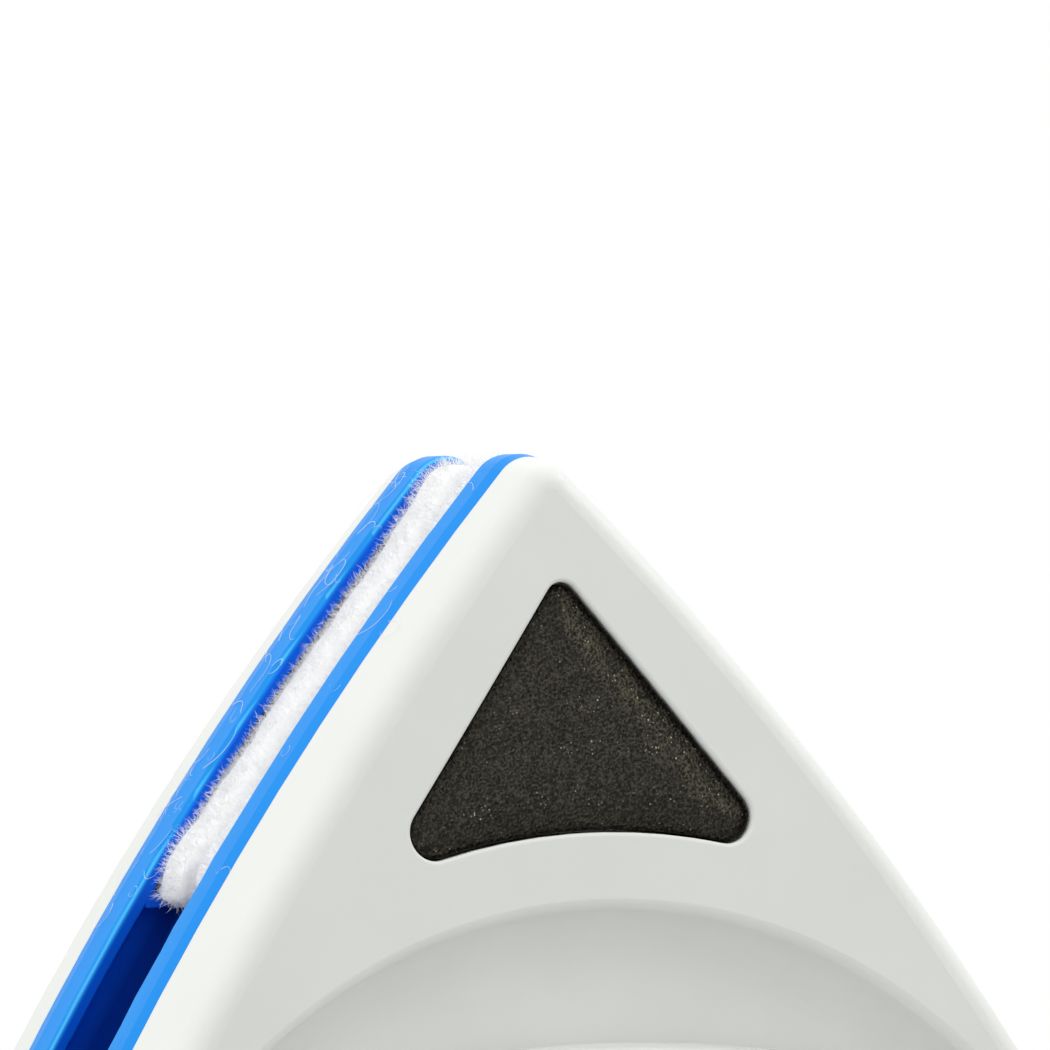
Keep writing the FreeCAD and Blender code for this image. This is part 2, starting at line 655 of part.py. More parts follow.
def wool_pad(half, corner, turn):
    body = new_body(f"{half}_{corner}_pad_body")
    outline = Drawing(body, f"{half}_{corner}_pad_outline", height="-plate_bottom - seat_gap")
    outline.pad_outline("(lip_width + pad_clearance)")
    outline.pad(f"{half}_{corner}_pad_block", "pad_face - plate_bottom - seat_gap", down=True)
    low = -value("pad_face")
    fillet(body, f"{half}_{corner}_pad_edge", "pad_edge_round",
           lambda edge: all(abs(vertex.Point.z - low) < 0.01 for vertex in edge.Vertexes))
    socket = Drawing(body, f"{half}_{corner}_pad_socket", height="0")
    socket.circle("screw_head_radius + 2 * hole_clearance", y="screw_ring")
    socket.pocket(f"{half}_{corner}_screw_room", "plate_bottom + screw_head_height + hole_clearance")
    finish_piece(body, f"{half}_wool_pad_{corner}", half, turn)


def foam_insert(half, corner, turn):
    body = new_body(f"{half}_{corner}_foam_body")
    outline = Drawing(body, f"{half}_{corner}_foam_outline", height="recess_floor + seat_gap")
    outline.foam_outline("0")
    outline.pad(f"{half}_{corner}_foam_block", "crown_height - recess_floor")
    crown = Drawing(body, f"{half}_{corner}_foam_crown", "XZ_Plane")
    crown.under_dome("crown_height - foam_sunk", "crown_radius", "2 * side_reach",
                     "crown_height + margin")
    crown.groove(f"{half}_{corner}_foam_top")
    finish_piece(body, f"{half}_foam_{corner}", half, turn)


# ---------------------------------------------------------------- magnets, tray, yoke, screws

def magnet(half, corner, turn):
    body = new_body(f"{half}_{corner}_magnet_body")
    outline = Drawing(body, f"{half}_{corner}_magnet_circle", height="seat_gap - cup_depth + cup_wall")
    outline.circle("magnet_radius", y="magnet_ring")
    outline.pad(f"{half}_{corner}_magnet_block", "magnet_length")
    finish_piece(body, f"{half}_magnet_{corner}", half, turn)


def magnet_tray(half):
    body = new_body(f"{half}_tray_body")
    disc = Drawing(body, f"{half}_tray_circle", height="seat_gap - cup_depth + cup_wall")
    disc.circle("tray_radius")
    disc.pad(f"{half}_tray_disc", "tray_top - seat_gap + cup_depth - cup_wall")
    pit = Drawing(body, f"{half}_pit_circle", height="tray_top")
    pit.circle("magnet_radius + hole_clearance", y="magnet_ring")
    in_threes(body, pit.pocket(f"{half}_pit", "tray_top + cup_depth"))
    finish_piece(body, f"{half}_magnet_tray", half)


def yoke(half):
    body = new_body(f"{half}_yoke_body")
    disc = Drawing(body, f"{half}_yoke_circle", height="2 * seat_gap - cup_depth + cup_wall + magnet_length")
    disc.circle("yoke_radius")
    disc.pad(f"{half}_yoke_disc", "yoke_thickness")
    hole = Drawing(body, f"{half}_yoke_hole_circle", height="crown_height")
    hole.circle("yoke_hole")
    hole.pocket(f"{half}_yoke_hole", "crown_height + margin")
    finish_piece(body, f"{half}_yoke_plate", half)


def screws(half, label, seat, head_radius, head_height, radius, length, ring):
    """Three pan-head screws in one node, heads towards the pane and tips towards the hand."""
    body = new_body(f"{half}_{label}_body")
    profile = Drawing(body, f"{half}_{label}_profile", "XZ_Plane")
    profile.polygon([("0", f"{seat} - {head_height}"), (head_radius, f"{seat} - {head_height}"),
                     (head_radius, seat), (radius, seat), (radius, f"{seat} + {length} - {radius}"),
                     ("0", f"{seat} + {length}")])
    profile.revolution(f"{half}_{label}_turned")
    drive = Drawing(body, f"{half}_{label}_drive_circle", height=f"{seat} - {head_height}")
    drive.circle("drive_radius")
    drive.pocket(f"{half}_{label}_drive", "drive_depth", up=True)
    doc.recompute()
    group = doc.addObject("Part::Feature", f"{half}_{label}_group")
    solids = []
    for turn in TURNS.values():
        screw = body.Shape.copy()
        screw.translate(FreeCAD.Vector(0, value(ring), 0))
        screw.rotate(FreeCAD.Vector(0, 0, 0), Z_AXIS, turn)
        solids.append(screw)
    group.Shape = Part.makeCompound(solids)
    finish_piece(group, f"{half}_{label}", half)


# ---------------------------------------------------------------- the whole cleaner

def build_half(half):
    shell(half)
    grip(half)
    frame(half)
    magnet_tray(half)
    yoke(half)
    for corner, turn in TURNS.items():
        foam_insert(half, corner, turn)
        wool_pad(half, corner, turn)
        wiper_blade(half, corner, turn)
        magnet(half, corner, turn)
    screws(half, "shell_screws", "-plate_bottom", "screw_head_radius", "screw_head_height",
           "screw_radius", "screw_length", "screw_ring")
    screws(half, "grip_screws", "dish_floor - dish_skin", "grip_screw_head_radius",
           "grip_screw_head_height", "grip_screw_radius", "grip_screw_length", "-grip_screw_ring")


def check_features():
    """Stops on a failed object, and on a cut that removes nothing or a pad that adds nothing."""
    for obj in doc.Objects:
        if "Invalid" in obj.State or "Error" in obj.State:
            raise RuntimeError(f"{obj.Name} failed: {obj.State}")
        if obj.isDerivedFrom("PartDesign::FeatureAddSub") and getattr(obj, "BaseFeature", None):
            change = obj.Shape.Volume - obj.BaseFeature.Shape.Volume
            taken = obj.TypeId in TAKES_AWAY
            if change == 0 or (taken and change > 0):
                raise RuntimeError(f"{obj.Name} changed the volume by {change}")


def export_pieces():
    os.makedirs(PARTS_FOLDER, exist_ok=True)
    for piece in pieces:
        shape = piece.Shape
        if shape.isNull() or not shape.isValid() or not shape.Solids:
            raise RuntimeError(f"{piece.Label} has no valid solid")
        shape.exportStep(os.path.join(PARTS_FOLDER, f"{piece.Label}.step"))


fill_sheet()
for side in ("front", "rear"):
    build_half(side)
doc.recompute()
check_features()
export_pieces()
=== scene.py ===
"""Magnetic glass cleaner: finishes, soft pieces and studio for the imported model."""

import json
import math
import random

import bmesh
import bpy
from bpy.props import FloatProperty, FloatVectorProperty, IntProperty, PointerProperty
from mathutils import Matrix, Vector, noise
from mathutils.kdtree import KDTree

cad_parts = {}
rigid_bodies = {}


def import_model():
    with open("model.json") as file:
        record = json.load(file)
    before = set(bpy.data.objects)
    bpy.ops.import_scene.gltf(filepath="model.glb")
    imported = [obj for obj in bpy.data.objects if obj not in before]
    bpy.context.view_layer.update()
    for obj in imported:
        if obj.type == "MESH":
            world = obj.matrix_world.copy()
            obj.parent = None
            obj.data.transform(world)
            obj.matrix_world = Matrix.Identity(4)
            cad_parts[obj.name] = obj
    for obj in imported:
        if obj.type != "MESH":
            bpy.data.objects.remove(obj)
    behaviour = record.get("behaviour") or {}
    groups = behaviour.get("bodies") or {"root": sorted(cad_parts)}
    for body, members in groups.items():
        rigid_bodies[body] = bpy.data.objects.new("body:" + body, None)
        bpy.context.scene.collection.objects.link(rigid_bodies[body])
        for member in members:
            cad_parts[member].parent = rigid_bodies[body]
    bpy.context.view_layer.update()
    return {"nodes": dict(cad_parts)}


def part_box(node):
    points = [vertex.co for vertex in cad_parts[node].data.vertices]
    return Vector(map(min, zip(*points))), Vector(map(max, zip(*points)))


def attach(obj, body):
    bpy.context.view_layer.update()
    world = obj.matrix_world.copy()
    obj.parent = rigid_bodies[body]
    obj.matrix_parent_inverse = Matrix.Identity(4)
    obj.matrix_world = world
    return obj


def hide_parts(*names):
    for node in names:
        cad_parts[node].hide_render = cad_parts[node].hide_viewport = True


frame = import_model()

bl_info = {
    "name": "Magnetic Glass Cleaner",
    "version": (1, 0, 0),
    "blender": (4, 5, 0),
    "location": "3D View > Sidebar > Cleaner",
    "description": "Finishes and soft pieces of a double-sided magnetic glass cleaner",
    "category": "Object",
}

MM = 0.001
NODES = frame["nodes"]
HALVES = ("front", "rear")
TURNS = {"top": 0, "left": 120, "right": 240}    # degrees from the upper corner to each corner

# The outline is a bowed triangle with rounded corners, centred on the magnet tray.
tray_low, tray_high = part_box("front_magnet_tray")
AXIS = Vector((0, 0, (tray_low.z + tray_high.z) / 2))
rim_low, rim_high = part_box("front_frame")
SIDE_REACH = AXIS.z - rim_low.z
SIDE_RADIUS = 5.5 * SIDE_REACH
CORNER_REACH = rim_high.z - AXIS.z
CORNER_RADIUS = 3.4 * MM

# The band is the blue edge that shows, and the land is the flat top of it, towards the pane.
BAND = 4.2 * MM
LAND = abs(rim_low.y) - BAND


# ---------------------------------------------------------------- settings

def colour(name, description, default):
    return FloatVectorProperty(name=name, description=description, subtype="COLOR", size=3,
                               min=0, max=1, default=default)


def length(name, description, default):
    return FloatProperty(name=name, description=description, default=default, min=0,
                         unit="LENGTH", precision=5)


class CleanerPlastic(bpy.types.PropertyGroup):
    shell: colour("Shell", "Moulded colour of the two shells", (0.716, 0.732, 0.702))
    grip: colour("Grip", "Moulded colour of the polished grips", (0.93, 0.935, 0.925))
    rim: colour("Rim", "Moulded colour of the two frames", (0.004, 0.238, 0.73))
    # Rim, edge is a painted highlight: the light line along the rim's edge and the lighter band
    # wall beside it.
    rim_edge_highlight: colour("Rim, edge", "Frame colour along the polished edge", (0.09, 0.53, 0.95))
    # Rim, inner and Rim, deep are painted shade: the crevice beside the wool and the channel are
    # darkened in the colour itself.
    rim_inner_shade: colour("Rim, inner", "Frame colour just inside the rim", (0.003, 0.11, 0.72))
    rim_deep_shade: colour("Rim, deep", "Frame colour down in the channel", (0.002, 0.045, 0.36))
    rim_plate: colour("Rim, plate", "Frame colour of the plate inside the rails",
                      (0.003, 0.17, 0.68))
    blade: colour("Blade", "Rubber of the wiper blades", (0.012, 0.05, 0.2))
    grain: length("Grain", "Size of the spark-eroded grain on the shells", 0.22 * MM)


class CleanerWool(bpy.types.PropertyGroup):
    tint: colour("Wool", "Colour of the pile", (0.86, 0.86, 0.855))
    voxel: length("Voxel", "Cell size of the pad before it is puffed", 1.0 * MM)
    swell: length("Swell", "Most that a point of the pad may move as it is puffed", 0.55 * MM)
    spread: length("Spread", "How far the pile spreads over the rim", 0.8 * MM)
    tip: length("Tip", "How far the pile stands up over the corner of the rim", 1.3 * MM)
    heel: length("Heel", "How far the pile fills the corners by the rib below it", 1.0 * MM)
    lump: length("Lump", "Height of the lumps in the pile", 0.075 * MM)
    fibre: length("Fibre", "Length of a fibre", 0.95 * MM)
    thickness: length("Fibre radius", "Radius of a fibre at its root", 0.018 * MM)
    density: FloatProperty(name="Density", default=28.0, min=0,
                           description="Fibres on each square millimetre of a pad's outer sides")
    stray: length("Stray fibre", "Length of a fibre that has come loose", 4.4 * MM)
    front_strays: FloatProperty(
        name="Front strays", default=0.03, min=0,
        description="Loose fibres on each square millimetre of the front rim")
    rear_strays: FloatProperty(
        name="Rear strays", default=0.32, min=0,
        description="Loose fibres on each square millimetre of the rear rim")
    seed: IntProperty(name="Seed", description="Seed of the fibres", default=7)


class CleanerFoam(bpy.types.PropertyGroup):
    # Foam, cell is partly painted shade: a quarter of the tone follows how deep a point sits in
    # its cell, the rest is random grain.
    dark: colour("Foam, cell", "Colour down in the cells", (0.004, 0.0035, 0.003))
    light: colour("Foam, wall", "Colour of the cell walls", (0.050, 0.047, 0.036))
    # Foam, rubbed is a painted highlight: a lighter, warmer tint on the upper right shoulder,
    # where the light falls.
    shoulder_highlight: colour("Foam, rubbed", "Colour where the edge is rubbed", (0.125, 0.115, 0.072))
    speck: colour("Speck", "Colour of the glints", (0.62, 0.57, 0.42))
    voxel: length("Voxel", "Cell size of the mesh", 0.16 * MM)
    cell: length("Cell", "Size of the foam's cells", 0.36 * MM)
    depth: length("Depth", "Depth of the cells", 0.10 * MM)
    crown: length("Crown", "How far the edge sinks below the middle", 0.7 * MM)
    shoulder: length("Shoulder", "Width of the rounded edge", 3.4 * MM)


class CleanerStage(bpy.types.PropertyGroup):
    azimuth: FloatProperty(name="Azimuth", description="Camera's bearing, degrees", default=-27.2)
    elevation: FloatProperty(name="Elevation", default=0.8,
                             description="Camera above level, degrees")
    roll: FloatProperty(name="Roll", description="Camera's tilt, degrees", default=2.7)
    aim_right: FloatProperty(name="Aim right", default=0.0016,
                             description="Aim to the right of the axis, in side reaches")
    aim_up: FloatProperty(name="Aim up", default=1.4946,
                          description="Aim above the axis, in side reaches")
    width: length("Width", "Width that the camera sees", 83.2 * MM)
    distance: length("Distance", "Camera to aim", 2.0)
    floor: colour("Floor", "Colour of the floor", (0.46, 0.46, 0.46))


GROUPS = {"cleaner_plastic": CleanerPlastic, "cleaner_wool": CleanerWool,
          "cleaner_foam": CleanerFoam, "cleaner_stage": CleanerStage}


# ---------------------------------------------------------------- node helpers

class Tree:
    """A short way to write a node tree."""

    def __init__(self, tree):
        self.tree = tree

    def add(self, kind, inputs=None, **settings):
        node = self.tree.nodes.new(kind)
        for key, setting in settings.items():
            setattr(node, key, setting)
        for socket, source in (inputs or {}).items():
            self.feed(node.inputs[socket], source)
        return node

    def feed(self, socket, source):
        if isinstance(source, bpy.types.NodeSocket):
            self.tree.links.new(source, socket)
        elif isinstance(source, bpy.types.Node):
            self.tree.links.new(source.outputs[0], socket)
        else:
            socket.default_value = source

    def math(self, operation, *terms):
        node = self.add("ShaderNodeMath", operation=operation)
        for socket, term in zip(node.inputs, terms):
            self.feed(socket, term)
        return node.outputs[0]

    def ramp(self, factor, *stops):
        """A colour ramp through (position, colour) stops."""
        node = self.add("ShaderNodeValToRGB", {"Fac": factor})
        elements = node.color_ramp.elements
        while len(elements) < len(stops):
            elements.new(0.5)
        for element, (position, tint) in zip(elements, stops):
            element.position = position
            element.color = (*tint, 1) if hasattr(tint, "__len__") else (tint, tint, tint, 1)
        return node.outputs["Color"]

    def grain(self, size, detail, vector=None):
        """Noise with features of about the given size, in metres."""
        inputs = {"Scale": 1 / size, "Detail": detail}
        inputs["Vector"] = vector or self.add("ShaderNodeTexCoord").outputs["Object"]
        return self.add("ShaderNodeTexNoise", inputs).outputs["Fac"]

    def blend(self, factor, first, second):
        """The first colour at nothing, the second at one."""
        node = self.add("ShaderNodeMix", {"Factor": factor}, data_type="RGBA")
        for socket, tint in zip(node.inputs[6:8], (first, second)):
            self.feed(socket, tint if isinstance(tint, bpy.types.NodeSocket) else (*tint, 1))
        return node.outputs[2]

    def fade(self, value, start, end):
        """One up to start, falling to nothing at end."""
        return self.add("ShaderNodeMapRange", {"Value": value, "From Min": start, "From Max": end,
                                               "To Min": 1.0, "To Max": 0.0}).outputs[0]

    def bump(self, height, distance, strength):
        inputs = {"Height": height, "Distance": distance, "Strength": strength}
        return self.add("ShaderNodeBump", inputs).outputs["Normal"]


def material(name, build):
    """A material whose Principled inputs come from build(tree) as a dict."""
    made = bpy.data.materials.new(name)
    made.use_nodes = True
    made.node_tree.nodes.clear()
    tree = Tree(made.node_tree)
    shader = tree.add("ShaderNodeBsdfPrincipled", build(tree))
    tree.add("ShaderNodeOutputMaterial", {"Surface": shader.outputs[0]})
    return made


def shades(tint, spread):
    """A darker and a lighter version of a colour."""
    return tuple(c * (1 - spread) for c in tint), tuple(min(1.0, c * (1 + spread)) for c in tint)


# ---------------------------------------------------------------- finishes

def moulded(name, tint, grain, roughness, spread=0.015, coat=0.0, specular=0.5):
    """Injection-moulded plastic: faint flow shading, fine grain, roughness that drifts."""
    def build(tree):
        darker, lighter = shades(tint, spread)
        flow = tree.grain(14 * MM, 3)
        low, high = roughness
        return {
            "Base Color": tree.ramp(flow, (0.35, darker), (0.65, lighter)),
            "Roughness": tree.ramp(tree.grain(3 * MM, 4), (0.3, low), (0.7, high)),
            "Specular IOR Level": specular,
            "Coat Weight": coat,
            "Normal": tree.bump(tree.grain(grain, 1), 0.004 * MM, 0.6),
        }
    return material(name, build)


def rim_depth(tree):
    """How far a point lies inside the rounded outline of the frame, in metres."""
    position = tree.add("ShaderNodeTexCoord").outputs["Object"]

    def reach_from(centre):
        offset = tree.add("ShaderNodeVectorMath", {0: position, 1: tuple(centre)},
                          operation="SUBTRACT")
        level = tree.add("ShaderNodeVectorMath", {0: offset.outputs[0], 1: (1, 0, 1)},
                         operation="MULTIPLY")
        reach = tree.add("ShaderNodeVectorMath", {0: level.outputs[0]}, operation="LENGTH")
        return reach.outputs["Value"]

    side_depth = corner_depth = None
    for turn in TURNS.values():
        outward = Vector((math.sin(math.radians(turn)), 0, math.cos(math.radians(turn))))
        side = reach_from(AXIS + (SIDE_RADIUS - SIDE_REACH) * outward)
        depth = tree.math("SUBTRACT", SIDE_RADIUS, side)
        side_depth = tree.math("MINIMUM", side_depth, depth) if side_depth else depth
        corner = reach_from(AXIS + (CORNER_REACH - CORNER_RADIUS) * outward)
        depth = tree.math("SUBTRACT", CORNER_RADIUS, corner)
        corner_depth = tree.math("MAXIMUM", corner_depth, depth) if corner_depth else depth
    # The corner's circle counts only past its ends, 0.3 of its radius below its tip.
    off_corner = tree.math("LESS_THAN", reach_from(AXIS), CORNER_REACH - 0.3 * CORNER_RADIUS)
    return tree.math("MINIMUM", side_depth, tree.math("ADD", corner_depth, off_corner))


def rim_plastic(plastic):
    """Azure plastic with a painted highlight along its edge, and painted shade that darkens it
    down in the channel.
    """
    channel_end = 12 * MM
    edge_line = LAND + 0.16 * MM, LAND + 0.36 * MM
    outer_skin = 0.2 * MM, 0.34 * MM
    edge_share, wall_share = 0.85, 0.10

    def build(tree):
        depth = rim_depth(tree)
        rim, inner_shade, deep_shade, plate = map(tuple, (plastic.rim, plastic.rim_inner_shade, plastic.rim_deep_shade,
                                              plastic.rim_plate))
        # Painted shade: past the outer skin the colour darkens with depth inside the outline,
        # cobalt just inside the rim and navy down in the channel, before the plate inside the
        # rails.
        body = tree.ramp(tree.math("DIVIDE", depth, channel_end), (0.028, rim), (0.042, inner_shade),
                         (0.20, inner_shade), (0.33, deep_shade), (0.66, deep_shade), (0.84, plate))
        position = tree.add("ShaderNodeTexCoord").outputs["Object"]
        along = tree.add("ShaderNodeSeparateXYZ", {"Vector": position}).outputs["Y"]
        height = tree.math("ABSOLUTE", along)
        # Painted highlight: a thin light line at the edge of the land and a faint lift on the band
        # wall beside it, both only on the outer skin.
        edge = tree.math("MULTIPLY", tree.fade(height, *edge_line), edge_share)
        wall = tree.math("MULTIPLY", tree.fade(height, LAND, LAND + BAND), wall_share)
        painted_highlight = tree.math("MULTIPLY", tree.math("MAXIMUM", edge, wall),
                           tree.fade(depth, *outer_skin))
        return {
            "Base Color": tree.blend(painted_highlight, body, tuple(plastic.rim_edge_highlight)),
            "Roughness": tree.ramp(tree.grain(0.9 * MM, 5), (0.35, 0.31), (0.7, 0.38)),
            "Specular IOR Level": 0.2,
            "IOR": 1.28,
            "Normal": tree.bump(tree.grain(0.5 * MM, 2), 0.003 * MM, 0.5),
        }
    return material("azure_plastic", build)


def blade_rubber(plastic):
    """Dark blue rubber with a dull, slightly uneven skin."""
    def build(tree):
        darker, lighter = shades(plastic.blade, 0.2)
        return {
            "Base Color": tree.ramp(tree.grain(2 * MM, 4), (0.3, darker), (0.7, lighter)),
            "Roughness": tree.ramp(tree.grain(0.7 * MM, 3), (0.3, 0.5), (0.7, 0.68)),
            "Normal": tree.bump(tree.grain(0.15 * MM, 2), 0.006 * MM, 0.5),
        }
    return material("blade_rubber", build)


def plated(name, tint, roughness, streak):
    """Plated or rolled metal with fine streaks."""
    def build(tree):
        position = tree.add("ShaderNodeTexCoord").outputs["Object"]
        stretched = tree.add("ShaderNodeMapping", {"Vector": position, "Scale": (1, 1, streak)})
        lines = tree.grain(0.4 * MM, 3, stretched.outputs[0])
        darker, lighter = shades(tint, 0.08)
        return {
            "Base Color": tree.ramp(lines, (0.3, darker), (0.7, lighter)),
            "Metallic": 1.0,
            "Roughness": tree.ramp(lines, (0.3, roughness * 0.8), (0.7, roughness * 1.25)),
            "Normal": tree.bump(lines, 0.003 * MM, 0.4),
        }
    return material(name, build)


def wool_pile(wool):
    """White pile, slightly cooler down between the tufts."""
    def build(tree):
        tufts = tree.grain(0.9 * MM, 3)
        cooling = (0.965, 0.97, 0.99)
        cool = tuple(c * f for c, f in zip(wool.tint, cooling))
        return {
            "Base Color": tree.ramp(tufts, (0.3, cool), (0.6, wool.tint)),
            "Roughness": 0.95,
            "Specular IOR Level": 0.15,
            "Sheen Weight": 0.3,
            "Sheen Roughness": 0.6,
            "Normal": tree.bump(tree.grain(0.3 * MM, 4), 0.08 * MM, 0.35),
        }
    return material("wool_pile", build)


def speckled_foam(foam):
    """Open black foam: random dark pores, cells darkened further by painted shade, brown-grey
    walls, a painted highlight on one shoulder and scattered glints.
    """
    pore, grit = 0.19 * MM, 0.30 * MM
    pore_share, wall_share = 0.75, 0.25

    def build(tree):
        wall = tree.add("ShaderNodeAttribute", attribute_name="wall").outputs["Fac"]
        lit_shoulder = tree.add("ShaderNodeAttribute", attribute_name="lit_shoulder").outputs["Fac"]
        pores = tree.grain(pore, 3)
        # A quarter of the tone is painted shade from the cell height, darker down in the cells;
        # three quarters are random grain.
        mixed = tree.math("MULTIPLY_ADD", pores, pore_share,
                          tree.math("MULTIPLY", wall, wall_share))
        middle = tuple((dark + light) / 3 for dark, light in zip(foam.dark, foam.light))
        tone = tree.ramp(mixed, (0.45, tuple(foam.dark)), (0.56, middle),
                         (0.67, tuple(foam.light)))
        patches = tree.ramp(tree.grain(2.5 * MM, 3), (0.35, 0.15), (0.62, 1.0))
        # Painted highlight: the marked shoulder is tinted lighter in patches, on the raised parts
        # of the grain.
        shoulder_highlight_mask = tree.math("MULTIPLY", tree.math("MULTIPLY", lit_shoulder, patches),
                         tree.ramp(mixed, (0.50, 0.0), (0.64, 0.6)))
        tone = tree.blend(shoulder_highlight_mask, tone, tuple(foam.shoulder_highlight))
        position = tree.add("ShaderNodeTexCoord").outputs["Object"]
        grains = tree.add("ShaderNodeTexVoronoi", {"Vector": position, "Scale": 1 / grit})
        core = tree.ramp(grains.outputs["Distance"], (0.12, 1.0), (0.30, 0.0))
        chosen = tree.ramp(grains.outputs["Color"], (0.70, 0.0), (0.95, 1.0))
        drifts = tree.ramp(tree.grain(5 * MM, 2), (0.42, 0.12), (0.62, 1.0))
        # The glints gather more thickly on the painted highlight of the shoulder.
        glints = tree.math("MULTIPLY", tree.math("MULTIPLY", core, chosen),
                           tree.math("ADD", drifts, lit_shoulder))
        return {
            "Base Color": tree.blend(glints, tone, tuple(foam.speck)),
            "Roughness": tree.ramp(glints, (0.2, 0.48), (0.8, 0.2)),
            "Specular IOR Level": 0.24,
            "Specular Tint": (1.0, 0.92, 0.76, 1.0),
            "Normal": tree.bump(pores, 0.09 * MM, 1.0),
        }
    return material("speckled_foam", build)


def paint(names, made):
    """Gives CAD nodes a finish."""
    for name in names:
        mesh = NODES[name].data
        mesh.materials.clear()
        mesh.materials.append(made)


def of_both(*names):
    """The nodes of that name in both halves."""
    return [f"{half}_{name}" for half in HALVES for name in names]


# ---------------------------------------------------------------- meshes

def welded_copy(node):
    """A copy of a CAD node's mesh with its doubled points merged."""
    mesh = bpy.data.meshes.new(node + "_copy")
    work = bmesh.new()
    work.from_mesh(NODES[node].data)
    bmesh.ops.remove_doubles(work, verts=work.verts, dist=0.002 * MM)
    work.to_mesh(mesh)
    work.free()
    return mesh


def solid_from(mesh, name):
    """An object in the scene with this mesh."""
    made = bpy.data.objects.new(name, mesh)
    bpy.context.scene.collection.objects.link(made)
    return made


def applied(obj):
    """The evaluated mesh of an object, which is removed."""
    bpy.context.view_layer.update()
    graph = bpy.context.evaluated_depsgraph_get()
    mesh = bpy.data.meshes.new_from_object(obj.evaluated_get(graph), depsgraph=graph)
    bpy.data.objects.remove(obj)
    return mesh


def remeshed(mesh, voxel):
    """The same closed shape in even quads."""
    work = solid_from(mesh, "remesh_work")
    grid = work.modifiers.new("Remesh", "REMESH")
    grid.mode = "VOXEL"
    grid.voxel_size = voxel
    return applied(work)


def corner_place(half, turn):
    """From the front half's upper corner to any corner of either half."""
    facing = Matrix.Rotation(math.pi if half == "rear" else 0, 4, "Z")
    turned = Matrix.Rotation(-math.radians(turn), 4, "Y")
    return Matrix.Translation(AXIS) @ facing @ turned @ Matrix.Translation(-AXIS)


def set_at_corners(mesh, kind, finish):
    """Copies the upper front piece to the six corners, each in place of its CAD solid."""
    for half in HALVES:
        for corner, turn in TURNS.items():
            copy = mesh.copy()
            copy.transform(corner_place(half, turn))
            copy.materials.clear()
            copy.materials.append(finish)
            piece = solid_from(copy, f"{half}_{kind}_{corner}_soft")
            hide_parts(f"{half}_{kind}_{corner}")
            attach(piece, f"{half}_half")


def puffed(mesh, swell):
    """Cloth filled with light pressure, worked at ten times size, no point moving past swell."""
    enlarge = 10
    work_mesh = mesh.copy()
    work_mesh.transform(Matrix.Scale(enlarge, 4))
    work = solid_from(work_mesh, "puff_work")
    cloth = work.modifiers.new("Cloth", "CLOTH")
    cloth.settings.quality = 5
    cloth.settings.mass = 0.4
    cloth.settings.tension_stiffness = 12
    cloth.settings.compression_stiffness = 12
    cloth.settings.bending_stiffness = 0.6
    cloth.settings.use_pressure = True
    cloth.settings.uniform_pressure_force = 4
    cloth.settings.effector_weights.gravity = 0
    scene = bpy.context.scene
    first, last = 1, 20
    for step in range(first, last + 1):
        scene.frame_set(step)
    swollen = applied(work)
    scene.frame_set(first)
    for rest, vertex in zip(mesh.vertices, swollen.vertices):
        move = vertex.co / enlarge - rest.co
        if move.length > swell:
            move *= swell / move.length
        vertex.co = rest.co + move
    return swollen


def subdivided(mesh, levels):
    """The same shape, smoothed and divided."""
    work = solid_from(mesh, "subdivide_work")
    surface = work.modifiers.new("Subdivision", "SUBSURF")
    surface.levels = surface.render_levels = levels
    return applied(work)


def lumped(mesh, size, height, seed):
    """Moves points along their normals by noise, for the lumps of a pile."""
    fineness, lacunarity, octaves = 1.0, 2.0, 3
    shift = Vector((seed, 0, 0))
    moves = [noise.fractal(v.co / size + shift, fineness, lacunarity, octaves) * height
             for v in mesh.vertices]
    normals = [v.normal.copy() for v in mesh.vertices]
    for vertex, normal, move in zip(mesh.vertices, normals, moves):
        vertex.co += normal * move
    mesh.update()


def share(distance, width):
    """Nothing at no distance, rising to one at the width."""
    return min(1.0, max(0.0, distance / width))


# ---------------------------------------------------------------- fibres by geometry nodes

def strand(points, radius):
    """A closed three-sided fibre along the points, tapering to its tip."""
    sides, aside = 3, Vector((0.3, 0.5, 0.8))
    work = bmesh.new()
    rings = []
    for step, point in enumerate(points[:-1]):
        along = (points[step + 1] - point).normalized()
        across = along.cross(aside).normalized()
        width = radius * (1 - 0.5 * step / len(points))
        turns = [Matrix.Rotation(math.tau * k / sides, 3, along) for k in range(sides)]
        rings.append([work.verts.new(point + turn @ across * width) for turn in turns])
    tip = work.verts.new(points[-1])
    beside = [(k, (k + 1) % sides) for k in range(sides)]
    for ring, after in zip(rings, rings[1:]):
        for k, other in beside:
            work.faces.new((ring[k], ring[other], after[other], after[k]))
    for k, other in beside:
        work.faces.new((rings[-1][k], rings[-1][other], tip))
    work.faces.new(rings[0])
    bmesh.ops.recalc_face_normals(work, faces=work.faces)
    mesh = bpy.data.meshes.new("strand")
    work.to_mesh(mesh)
    work.free()
    return mesh


def pile_strands(wool, draw):
    """Short curled fibres that stand on the pad."""
    kinds = 7
    up = Vector((0, 0, 1))
    made = []
    for _ in range(kinds):
        lean = Vector((draw.uniform(-0.5, 0.5), draw.uniform(-0.5, 0.5), 0))
        curl = Vector((draw.uniform(-0.4, 0.4), draw.uniform(-0.4, 0.4), 0))
        line = (-0.1 * up, 0.5 * up + lean, up + lean * 0.6 + curl)
        made.append(strand([point * wool.fibre for point in line], wool.thickness))
    return made


def stray_strands(wool, draw):
    """Long thin fibres that lie flat in loose curves."""
    kinds, shortest, longest = 9, 8, 14
    step_length = wool.stray / 12
    made = []
    for _ in range(kinds):
        steps = draw.randint(shortest, longest)
        heading, bend = draw.uniform(0, math.tau), draw.uniform(-0.12, 0.12)
        points = [Vector((0, 0, wool.thickness * 0.5))]
        for _ in range(steps):
            bend += draw.uniform(-0.13, 0.13)
            heading += bend
            ahead = Vector((math.cos(heading), math.sin(heading), draw.uniform(-0.02, 0.06)))
            points.append(points[-1] + ahead * step_length)
        made.append(strand(points, wool.thickness * 1.15))
    return made


